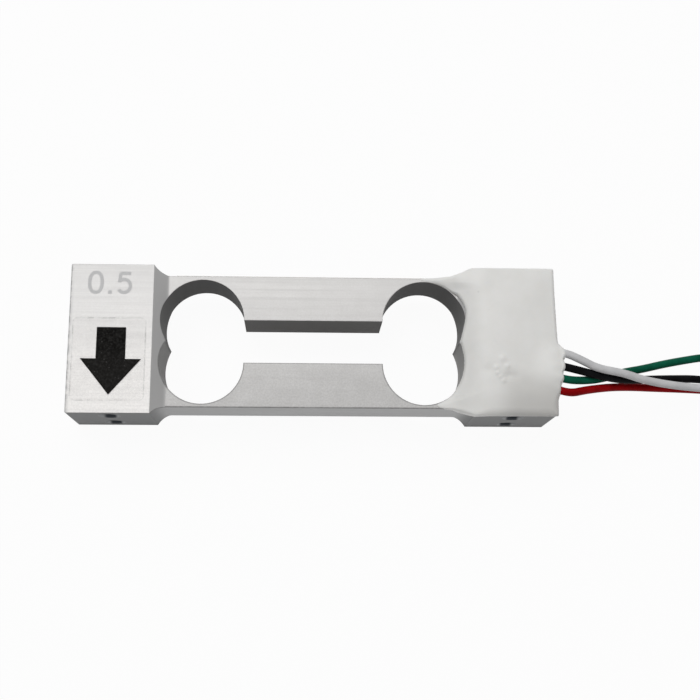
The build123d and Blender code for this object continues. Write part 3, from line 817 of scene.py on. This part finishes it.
# %% Effect: worn edges
wear, given, result = effect("Worn edges", {"Radius": 0.00008, "Patchiness": 0.5}, ("Mask", "Normal"))
rounded = add(wear, "ShaderNodeBevel", {"Radius": given["Radius"]}, samples=8).outputs[0]
flat = add(wear, "ShaderNodeNewGeometry").outputs["True Normal"]
same = add(wear, "ShaderNodeVectorMath", {0: rounded, 1: flat}, operation="DOT_PRODUCT").outputs["Value"]
patches = noise(given["Vector"], 2.2, 4.0)
patchy = given["Patchiness"]
kept = ramp(patches, minus(patchy, 0.12), calc("ADD", patchy, 0.12))
link(result, Mask=times(ramp(same, 0.995, 0.93), kept), Normal=rounded)

# %% Effect: specks
specks, given, result = effect("Specks", {"Spacing": 0.5, "Share": 0.3}, ("Mask",))
place = scaled(given["Vector"], calc("DIVIDE", 1.0, given["Spacing"]))
cells = add(specks, "ShaderNodeTexVoronoi", {"Vector": place, "Scale": 1.0, "Randomness": 1.0}).outputs
pick = add(specks, "ShaderNodeSeparateColor", {0: cells["Color"]}).outputs[0]
chosen = calc("LESS_THAN", pick, given["Share"])
link(result, Mask=times(ramp(cells["Distance"], 0.17, 0.05), chosen))
print("effects:", [group.name for group in bpy.data.node_groups])

# %% A new material with millimetre coordinates
def finish(name, **fixed):
    """A material with a Principled shader, the shader's inputs, and the places in millimetres.
    Values that are the same all over are set on the inputs."""
    material = bpy.data.materials.new(name)
    material.use_nodes = True
    inputs = material.node_tree.nodes["Principled BSDF"].inputs
    for key, value in fixed.items():
        inputs[key.replace("_", " ")].default_value = value
    place = add(material.node_tree, "ShaderNodeTexCoord").outputs["Object"]
    return material, inputs, scaled(place, 1 / MM)


def place_effect(group, mm, **values):
    """Puts an effect into the material that the places come from, and returns its outputs."""
    return add(tree_of(mm), "ShaderNodeGroup", {"Vector": mm, **values}, node_tree=group).outputs


def bump(height, strength, distance_mm, normal=None):
    """Small relief: how strong, and how many millimetres high."""
    inputs = {"Strength": strength, "Distance": distance_mm * MM, "Height": height}
    if normal is not None:
        inputs["Normal"] = normal
    return add(tree_of(height), "ShaderNodeBump", inputs).outputs[0]


# %% [markdown]
# ## Aluminium
# The beam is milled bar stock. Its broad faces are pale and fine grained, with streaks along
# the bar, and a painted gradient of light and shade runs across them. The bored and slotted
# walls and the long sides of the blocks are rough and dull, because the cutter drags there, but
# their dark tones are painted shade: the walls are darker where they face away from the light and
# lighter where they face it, and the block sides are darker than the relieved long edges, which
# are a middle grey, and darker still towards the floor. The slanted step and the cut edges carry
# painted shade as well, and the tapped holes painted light and shade. The left end of the face
# has a worn band and a few nicks. Which is which follows from the place and the direction of the
# surface.

# %% Aluminium of the beam
HOLE_X, HOLE_MIDDLE_Z, HOLE_HALF_SPACING, HOLE_REACH_SQUARED = 18.67, 3.5, 1.8, 1.02
WINDOW_X, WINDOW_Y = 14.3, 6.0
SLOT_X, SLOT_Y = 6.9, 2.0
RECESS_X = 14.2
RELIEF_X, SIDE_Y = 13.6, 6.1
PAST_STEP_X = 15.2
FACE_BAND_Z = (6.8, 6.9)

aluminium, inputs, mm = finish("aluminium", Specular_IOR_Level=0.2)
apart = parts(mm)
facing = parts(add(tree_of(mm), "ShaderNodeTexCoord").outputs["Normal"])
abs_x, abs_y = calc("ABSOLUTE", apart[0]), calc("ABSOLUTE", apart[1])
upright = ramp(calc("ABSOLUTE", facing[2]), 0.5, 0.3)
in_window = times(calc("LESS_THAN", abs_x, WINDOW_X), calc("LESS_THAN", abs_y, WINDOW_Y))
bored = times(upright, in_window)
long_side = times(upright, calc("GREATER_THAN", abs_y, SIDE_Y))
block_side = times(long_side, ramp(abs_x, RELIEF_X, PAST_STEP_X))

# Painted light and shade in the tapped holes: the mouths are lighter at the sides, and a dark core is
# painted where the bore lies in shade.
off_axis = calc("ABSOLUTE", minus(abs_x, HOLE_X))
off_row = minus(calc("ABSOLUTE", minus(apart[2], HOLE_MIDDLE_Z)), HOLE_HALF_SPACING)
from_axis = calc("ADD", calc("POWER", off_axis, 2.0), calc("POWER", off_row, 2.0))
tapped = calc("LESS_THAN", from_axis, HOLE_REACH_SQUARED)
hole_core_shade = times(tapped, ramp(off_axis, 0.72, 0.36))
# Painted shade on the slanted step: faces that lean along the beam, above the recessed face, are picked out
# here to be made darker, where less light falls.
step_shade_mask = times(ramp(calc("ABSOLUTE", facing[0]), 0.12, 0.45), calc("GREATER_THAN", apart[2], 5.6))
step_shade_mask = times(step_shade_mask, calc("LESS_THAN", abs_x, PAST_STEP_X))
nicks = noise(mm, 2.2, 3.0)
near_face = ramp(apart[2], *FACE_BAND_Z)
nicked = times(times(ramp(apart[0], -22.3, -22.44), near_face), ramp(nicks, 0.49, 0.62))
end_band = times(ramp(apart[0], -22.1, -22.32), near_face)
end_band = times(end_band, between(ramp(nicks, 0.35, 0.6), 0.3, 0.95))
thread = add(tree_of(mm), "ShaderNodeTexWave", {"Vector": mm, "Scale": 0.8}, bands_direction="Y").outputs[1]

cloud = place_effect(mottling, mm, Size=1.6)
grain = place_effect(mottling, mm, Size=0.16)
streak = place_effect(streaks, mm, Length=7.0, Width=0.07)
worn = place_effect(wear, mm, Radius=0.00009, Patchiness=0.42)
# Painted shade lines along cut edges: round the bores and the slot and along the relieved edges, in the
# front half only, and along the tops of the block sides.
across_bore = calc("POWER", minus(abs_x, BORE_X), 2.0)
up_bore = calc("POWER", minus(abs_y, BORE_Y), 2.0)
from_bore = minus(calc("SQRT", calc("ADD", across_bore, up_bore)), BORE_RADIUS)
bore_line = ramp(calc("ABSOLUTE", from_bore), 0.13, 0.04)
slot_line = times(ramp(minus(abs_y, SLOT_Y), 0.13, 0.04), calc("LESS_THAN", abs_x, SLOT_X))
cut_line = times(calc("MAXIMUM", bore_line, slot_line), ramp(apart[1], 0.5, -0.5))
edge_shade_line = times(ramp(apart[1], -6.1, -6.17), calc("LESS_THAN", abs_x, RELIEF_X))
edge_shade_line = times(calc("MAXIMUM", cut_line, edge_shade_line), minus(1.0, upright))
top_z = between(ramp(abs_x, STEP_FOOT_X, BLOCK_X), RECESS_Z, FACE_Z)
below_top = minus(top_z, apart[2])
edge_shade_line = calc("MAXIMUM", edge_shade_line, times(long_side, ramp(below_top, 0.35, 0.15)))
edge_shade_line = times(edge_shade_line, between(ramp(nicks, 0.3, 0.65), 0.55, 0.8))

# Painted light and shade across the flat faces: the block faces are lighter towards the front edge and
# darker towards the back, and the recessed face is darker towards its front edge.
up = ramp(apart[1], -6.5, 6.5)
in_recess = calc("LESS_THAN", abs_x, RECESS_X)
block_face = blend(up, grey(0.82, 0.022), grey(0.635, 0.012))
recess_face = blend(up, grey(0.50, 0.014), grey(0.615, 0.014))
face = blend(in_recess, block_face, recess_face)
face = blend(times(cloud["Mask"], 0.14), face, grey(0.8, 0.012))
face = blend(times(streak["Mask"], 0.1), face, grey(0.5, 0.005))
grain_tone = blend(up, grey(0.32, 0.02), grey(0.55, 0.03))
face = blend(times(grain["Mask"], between(in_recess, 0.2, 0.4)), face, grain_tone)
# Painted shade: the slanted step is darker than the faces.
face = blend(step_shade_mask, face, grey(0.465, 0.006))
# Painted shade on the long sides of the blocks: darker than the relieved long edges, and darker still
# towards the floor as a painted contact shadow.
side = blend(block_side, grey(0.425), grey(0.29, -0.01))
side = blend(times(ramp(apart[2], 0.9, 0.1), 0.45), side, grey(0.05))
side = blend(times(grain["Mask"], 0.12), side, grey(0.3))
side = blend(times(streak["Mask"], 0.08), side, grey(0.45))
colour = blend(long_side, face, side)
# Painted light and shade on the bored and slotted walls: darkest in the slot, darker where a wall faces
# away from the light above and behind, lighter where it faces the light, and lighter still in the lower
# lobes.
shaded = blend(calc("LESS_THAN", abs_x, 7.1), grey(0.125, 0.01), grey(0.185, 0.02))
wall = blend(ramp(facing[1], -0.9, 0.1), shaded, grey(0.185, 0.01))
wall = blend(ramp(facing[1], 0.0, 0.8), wall, grey(0.29, 0.01))
lit_low_lobe = times(ramp(apart[1], 0.1, -0.3), 0.8)
wall = blend(lit_low_lobe, wall, grey(0.48, 0.01))
colour = blend(bored, colour, wall)
colour = blend(times(worn["Mask"], 0.6), colour, grey(0.3))
# Painted shade: dark lines along the cut edges.
colour = blend(edge_shade_line, colour, grey(0.17, 0.02))
colour = blend(end_band, colour, grey(0.58, 0.01))
colour = blend(nicked, colour, grey(0.42))
# Painted light on the sides of the tapped holes' mouths, then painted shade in their cores.
colour = blend(tapped, colour, grey(0.42, -0.02))
colour = blend(hole_core_shade, colour, (0.036, 0.041, 0.048, 1))
dull = calc("MAXIMUM", bored, block_side)
rough = between(dull, between(streak["Mask"], 0.42, 0.5), 0.75)
relief = calc("ADD", times(streak["Height"], 0.6), times(grain["Height"], 0.5))
relief = between(tapped, relief, times(thread, 8.0))
relief = bump(relief, 0.35, 0.006, worn["Normal"])
link(inputs, Base_Color=colour, Roughness=rough, Metallic=between(dull, 0.22, 0.0), Normal=relief)

# %% [markdown]
# ## Silicone, film and print
# Cured silicone is white with a soft shine and a faint unevenness. The film is clear and thin,
# with faint smudges; along its rim a painted shade line, a greyer and less clear band, shows
# its edge. The arrow is black ink with a few pinholes in it.

# %% Silicone
silicone_white, inputs, mm = finish(
    "silicone", Specular_IOR_Level=0.2,
    Subsurface_Weight=0.12, Subsurface_Scale=0.0005, Subsurface_Radius=(1.0, 0.9, 0.8),
)
apart = parts(mm)
# Painted shade on the silicone: the part below the leads' rise and the strip along the lower edge are
# greyer, where the surface falls away from the light.
slanted = calc("ADD", apart[1], times(minus(apart[0], 18.0), 0.24))
shaded_low_part = times(ramp(slanted, -2.1, -3.9), ramp(apart[0], 16.6, 18.8))
shaded_low_edge = times(ramp(apart[1], -4.2, -6.4), ramp(apart[0], 15.2, 20.0))
cloud = place_effect(mottling, mm, Size=2.6)
pores = place_effect(mottling, mm, Size=0.22)
dirt = place_effect(specks, mm, Spacing=0.9, Share=0.12)
colour = blend(cloud["Mask"], (0.85, 0.845, 0.82, 1), (0.885, 0.88, 0.86, 1))
# Painted shade on the lower part and along the lower edge.
colour = blend(times(shaded_low_part, 0.55), colour, (0.62, 0.61, 0.585, 1))
colour = blend(times(shaded_low_edge, 0.62), colour, (0.58, 0.57, 0.55, 1))
colour = blend(times(dirt["Mask"], 0.25), colour, (0.5, 0.5, 0.48, 1))
relief = bump(calc("ADD", cloud["Height"], times(pores["Height"], 0.12)), 0.3, 0.05)
link(inputs, Base_Color=colour, Roughness=between(cloud["Mask"], 0.4, 0.5), Normal=relief)

# %% Clear film
film, inputs, mm = finish("clear_film", IOR=1.45)
apart = parts(mm)
from_middle = [
    minus(calc("ABSOLUTE", minus(apart[axis], FILM_MIDDLE[axis])), FILM_HALF[axis])
    for axis in (0, 1)
]
# Painted shade line along the film's rim: a band just inside the edge is greyer and less clear.
rim_shade_mask = ramp(calc("MAXIMUM", *from_middle), -0.17, -0.05)
smudge = place_effect(mottling, mm, Size=1.1)
faded = between(ramp(smudge["Height"], 0.4, 0.6), 0.03, 0.13)
alpha = calc("ADD", times(rim_shade_mask, faded), between(smudge["Mask"], 0.01, 0.04))
colour = blend(rim_shade_mask, grey(0.75, 0.02), grey(0.5))
link(inputs, Base_Color=colour, Alpha=alpha, Roughness=between(smudge["Mask"], 0.3, 0.4))

# %% Ink of the arrow and the number
ink, inputs, mm = finish("arrow_ink", Specular_IOR_Level=0.0)
pinholes = place_effect(specks, mm, Spacing=0.27, Share=0.32)
cloud = place_effect(mottling, mm, Size=0.7)
in_head = ramp(parts(mm)[1], 0.0, -3.0)
colour = blend(cloud["Mask"], grey(0.005, 0.05), grey(0.012, 0.05))
colour = blend(times(in_head, 0.6), colour, grey(0.02, 0.05))
grit = place_effect(mottling, mm, Size=0.2)
colour = blend(times(calc("POWER", grit["Mask"], 2.0), 0.5), colour, grey(0.045, 0.03))
colour = blend(times(pinholes["Mask"], 0.28), colour, grey(0.4))
link(inputs, Base_Color=colour, Roughness=between(cloud["Mask"], 0.45, 0.6))

print_grey, inputs, mm = finish("number_print")
cloud = place_effect(mottling, mm, Size=0.3)
colour = blend(cloud["Mask"], grey(0.55), grey(0.62))
link(inputs, Base_Color=colour, Roughness=between(cloud["Mask"], 0.5, 0.65))

# %% [markdown]
# ## Insulation and the rest
# PVC insulation is smooth, with a slight drag from the extruder and a few scuffs. The small
# parts under the silicone and on the gauges get plain but true finishes, since they show only
# where the coating is clear.

# %% Insulation of the leads
INSULATION = {
    "white": ((0.60, 0.60, 0.61), (0.70, 0.70, 0.71)),
    "black": ((0.003, 0.003, 0.0035), (0.007, 0.007, 0.008)),
    "green": ((0.003, 0.080, 0.044), (0.006, 0.115, 0.065)),
    "red": ((0.23, 0.002, 0.003), (0.34, 0.004, 0.006)),
}


def insulation(name, dark, light):
    """PVC: a base colour with soft patches, scuffs that are duller, and low relief."""
    material, inputs, mm = finish(f"insulation_{name}", Specular_IOR_Level=0.03)
    patch = place_effect(mottling, mm, Size=1.4)
    scuff = place_effect(specks, mm, Spacing=0.8, Share=0.25)
    drag = place_effect(streaks, mm, Length=2.5, Width=0.09)
    rough = calc("ADD", between(patch["Mask"], 0.36, 0.46), times(scuff["Mask"], 0.2))
    colour = blend(patch["Mask"], (*dark, 1), (*light, 1))
    link(inputs, Base_Color=colour, Roughness=rough, Normal=bump(drag["Height"], 0.3, 0.012))
    return material


# %% Metals, laminate and plastics
# Each row: the material's name, a dark and a light tone, the size of the patches in millimetres,
# the range of the roughness and how metallic it is. Its key is the record's slot.
SMALL_FINISHES = {
    "polyimide": ("polyimide", (0.42, 0.16, 0.02), (0.52, 0.22, 0.03), 0.5, (0.3, 0.4), 0),
    "gauge_foil": ("gauge_foil", (0.50, 0.38, 0.28), (0.62, 0.48, 0.36), 0.2, (0.25, 0.35), 1),
    "clear_coat": ("clear_coat", (0.86, 0.84, 0.74), (0.92, 0.91, 0.84), 0.9, (0.12, 0.2), 0),
    "board_laminate": ("laminate", (0.30, 0.22, 0.08), (0.38, 0.28, 0.11), 0.3, (0.5, 0.6), 0),
    "pad_copper": ("pad_copper", (0.72, 0.36, 0.22), (0.82, 0.45, 0.30), 0.3, (0.25, 0.4), 1),
    "resistor_ceramic": ("ceramic", (0.02, 0.02, 0.02), (0.04, 0.04, 0.04), 0.2, (0.4, 0.5), 0),
    "solder": ("solder", (0.62, 0.62, 0.64), (0.74, 0.74, 0.76), 0.25, (0.22, 0.38), 1),
    "enamelled_wire": ("enamelled_wire", (0.55, 0.20, 0.07), (0.66, 0.28, 0.10), 0.3, (0.2, 0.3), 0.7),
    "tinned_copper": ("tinned_copper", (0.48, 0.47, 0.45), (0.64, 0.63, 0.60), 0.2, (0.25, 0.4), 1),
    "tie_plastic": ("tie_plastic", (0.012, 0.012, 0.013), (0.022, 0.022, 0.024), 0.4, (0.4, 0.5), 0),
}
SEE_THROUGH = {"clear_coat": {"Alpha": 0.35, "IOR": 1.42}}


def small_finish(name, dark, light, size, rough, metallic, **fixed):
    """Two close tones in soft patches, with a little relief of the same size."""
    material, inputs, mm = finish(name, Metallic=metallic, **fixed)
    patch = place_effect(mottling, mm, Size=size)
    colour = blend(patch["Mask"], (*dark, 1), (*light, 1))
    relief = bump(patch["Height"], 0.3, size * 0.03)
    link(inputs, Base_Color=colour, Roughness=between(patch["Mask"], *rough), Normal=relief)
    return material


finishes = {
    "beam_aluminium": aluminium, "clear_film": film, "arrow_print": ink, "white_silicone": silicone_white,
}
for slot, row in SMALL_FINISHES.items():
    finishes[slot] = small_finish(*row, **SEE_THROUGH.get(slot, {}))
for name, tones in INSULATION.items():
    finishes[f"insulation_{name}"] = insulation(name, *tones)
print("finishes:", len(finishes))

# %% Give every piece its finish
for piece in nodes.values():
    slot = piece.material_slots[0].material.name.split(".")[0]
    for place in piece.material_slots:
        place.material = finishes[slot]
for name, piece in leads.items():
    piece.data.materials.append(finishes[f"insulation_{name}"])
for piece in bare_wires.values():
    piece.data.materials.append(finishes["tinned_copper"])
rest = [(silicone, silicone_white), (label, film), (arrow, ink), (number, print_grey)]
for piece, surface in [*rest, (band, finishes["tie_plastic"])]:
    piece.data.materials.append(surface)

# %% [markdown]
# ## The studio
# The floor is pale and plain. The camera, and anything shiny, sees it and the world as white,
# while the light that falls on the object comes from a large soft lamp above and behind it, a
# weaker one in front, and an even grey from all round. So pale metal keeps its tone.

# %% Floor and world
def sees_backdrop(tree):
    """1 for rays from the camera, off a shiny surface or through a clear one, and 0 for others."""
    path = add(tree, "ShaderNodeLightPath").outputs
    first = calc("MAXIMUM", path["Is Camera Ray"], path["Is Glossy Ray"])
    return calc("MAXIMUM", first, path["Is Transmission Ray"])


FLOOR_HALF, FLOOR_GAP = 1.5, 0.00002
floor_mesh = bpy.data.meshes.new("floor")
corners = [(x * FLOOR_HALF, y * FLOOR_HALF, 0) for x, y in ((-1, -1), (1, -1), (1, 1), (-1, 1))]
floor_mesh.from_pydata(corners, [], [(0, 1, 2, 3)])
floor_mesh.transform(Matrix.Translation((0, 0, -FLOOR_GAP)))
floor = placed("floor", floor_mesh)

floor_paper = bpy.data.materials.new("floor_paper")
floor_paper.use_nodes = True
tree = floor_paper.node_tree
tree.nodes.clear()
paper = add(tree, "ShaderNodeBsdfDiffuse", {"Color": grey(0.8)}).outputs[0]
white = add(tree, "ShaderNodeEmission", {"Color": grey(1.0), "Strength": 1.0}).outputs[0]
share_white = times(sees_backdrop(tree), 0.95)
mixed = add(tree, "ShaderNodeMixShader", {0: share_white, 1: paper, 2: white}).outputs[0]
add(tree, "ShaderNodeOutputMaterial", {"Surface": mixed})
floor_mesh.materials.append(floor_paper)

world = bpy.data.worlds.new("studio")
world.use_nodes = True
tree = world.node_tree
tree.nodes.clear()
even = add(tree, "ShaderNodeBackground", {"Color": grey(1.0), "Strength": 0.3}).outputs[0]
bright = add(tree, "ShaderNodeBackground", {"Color": grey(1.0), "Strength": 0.985}).outputs[0]
mixed = add(tree, "ShaderNodeMixShader", {0: sees_backdrop(tree), 1: even, 2: bright}).outputs[0]
add(tree, "ShaderNodeOutputWorld", {"Surface": mixed})
scene.world = world

# %% Lamps
def soft_lamp(name, place_mm, size_mm, watts):
    """A square area lamp that looks at the object."""
    data = bpy.data.lights.new(name, "AREA")
    data.shape = "SQUARE"
    data.size = size_mm * MM
    data.energy = watts
    lamp = placed(name, data)
    lamp.location = Vector(place_mm) * MM
    lamp.rotation_euler = (-lamp.location).to_track_quat("-Z", "Y").to_euler()


soft_lamp("key_lamp", (-80, 170, 340), 280, 0.8)
soft_lamp("fill_lamp", (120, -260, 240), 300, 0.07)

# %% Picture settings
scene.view_settings.view_transform = "Standard"

# %% Update the scene
bpy.context.view_layer.update()
